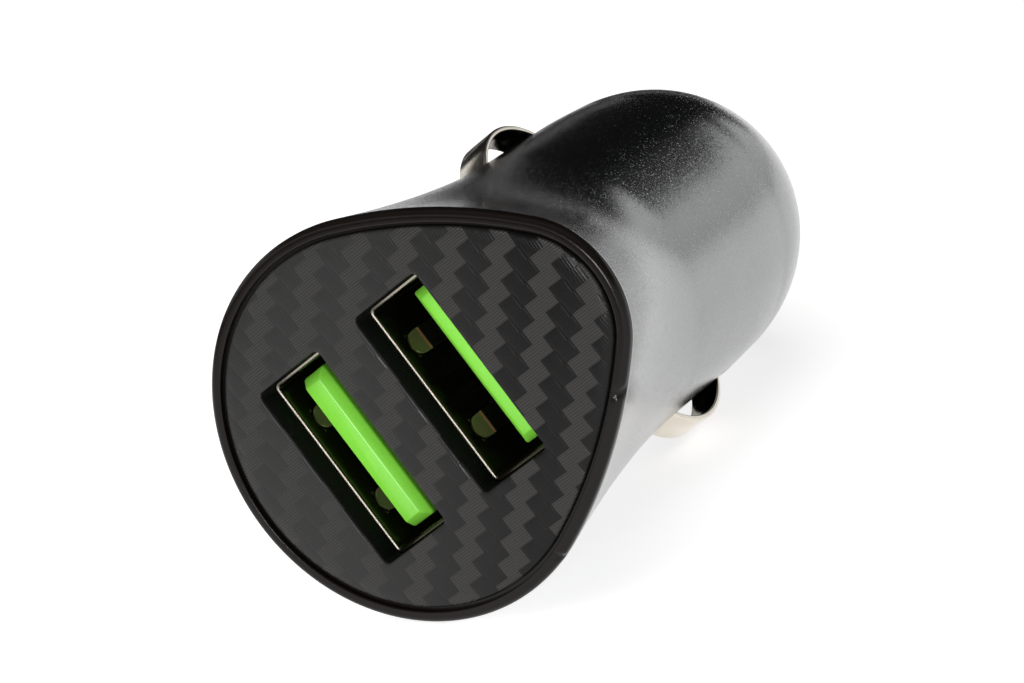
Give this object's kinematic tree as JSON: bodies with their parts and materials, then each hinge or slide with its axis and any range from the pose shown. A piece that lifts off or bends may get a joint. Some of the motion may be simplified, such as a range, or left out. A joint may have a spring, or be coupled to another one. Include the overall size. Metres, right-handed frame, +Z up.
{
  "type": "car usb charger plug",
  "caption": "Two-port USB charger plug for a car accessory socket, with a round metal barrel, sprung side clips, a sprung tip and a rounded triangular face.",
  "frame": {"origin": "on the barrel's axis, level with the crests of the two side clips", "axes": "+Z up as the plug lies on a table; +Y along the plug from its face to its nose, level; +X to the right, seen from the face"},
  "size_m": [0.0288, 0.0529, 0.0266],
  "materials": {
    "dark_aluminium": "fine bead-blasted, dark anodised, satin",
    "bezel_plastic": "smooth moulded, half-matt",
    "woven_plate": "moulded relief of a twill weave",
    "inner_plastic": "smooth moulded",
    "port_steel": "tin-plated sheet",
    "green_plastic": "glossy moulded",
    "contact_metal": "gold-plated strip",
    "board_laminate": "solder mask",
    "ferrite": "sintered",
    "capacitor_can": "drawn can",
    "chip_resin": "moulded resin",
    "ceramic": "glazed ceramic",
    "clip_nickel": "nickel-plated, slightly warm",
    "spring_steel": "drawn wire"
  },
  "bodies": {
    "plug": {"housing": "dark_aluminium", "bezel": "bezel_plastic", "faceplate": "woven_plate", "carrier": "inner_plastic", "upper_port_shell": "port_steel", "lower_port_shell": "port_steel", "upper_port_insulator": "green_plastic", "lower_port_insulator": "green_plastic", "upper_contact_1": "contact_metal", "upper_contact_2": "contact_metal", "upper_contact_3": "contact_metal", "upper_contact_4": "contact_metal", "lower_contact_1": "contact_metal", "lower_contact_2": "contact_metal", "lower_contact_3": "contact_metal", "lower_contact_4": "contact_metal", "main_board": "board_laminate", "inductor": "ferrite", "input_capacitor": "capacitor_can", "output_capacitor": "capacitor_can", "controller_chip": "chip_resin", "rectifier_diode": "chip_resin", "input_fuse": "ceramic", "ground_contact": "contact_metal", "tip_terminal": "contact_metal", "nose_ring": "inner_plastic", "tip_spring": "spring_steel"},
    "tip": {"tip_contact": "clip_nickel"},
    "left_spring": {"left_clip": "clip_nickel"},
    "right_spring": {"right_clip": "clip_nickel"}
  },
  "joints": [
    {"name": "tip_press", "type": "slide", "parent": "plug", "child": "tip", "axis": [0, -0.9975, 0.0703], "range_m": [0, 0.0022], "stiffness_N_per_m": 1500, "springref_m": -0.002, "deforming": ["tip_spring"]},
    {"name": "left_clip_flex", "type": "hinge", "parent": "plug", "child": "left_spring", "pos_m": [-0.0051, -0.01023, 0.00779], "axis": [-0.81, -0.0412, -0.585], "range_deg": [0, 8.4], "stiffness_Nm_per_rad": 0.9},
    {"name": "right_clip_flex", "type": "hinge", "parent": "plug", "child": "right_spring", "pos_m": [0.0051, -0.01122, -0.00627], "axis": [0.81, 0.0412, 0.585], "range_deg": [0, 8.4], "stiffness_Nm_per_rad": 0.9}
  ]
}
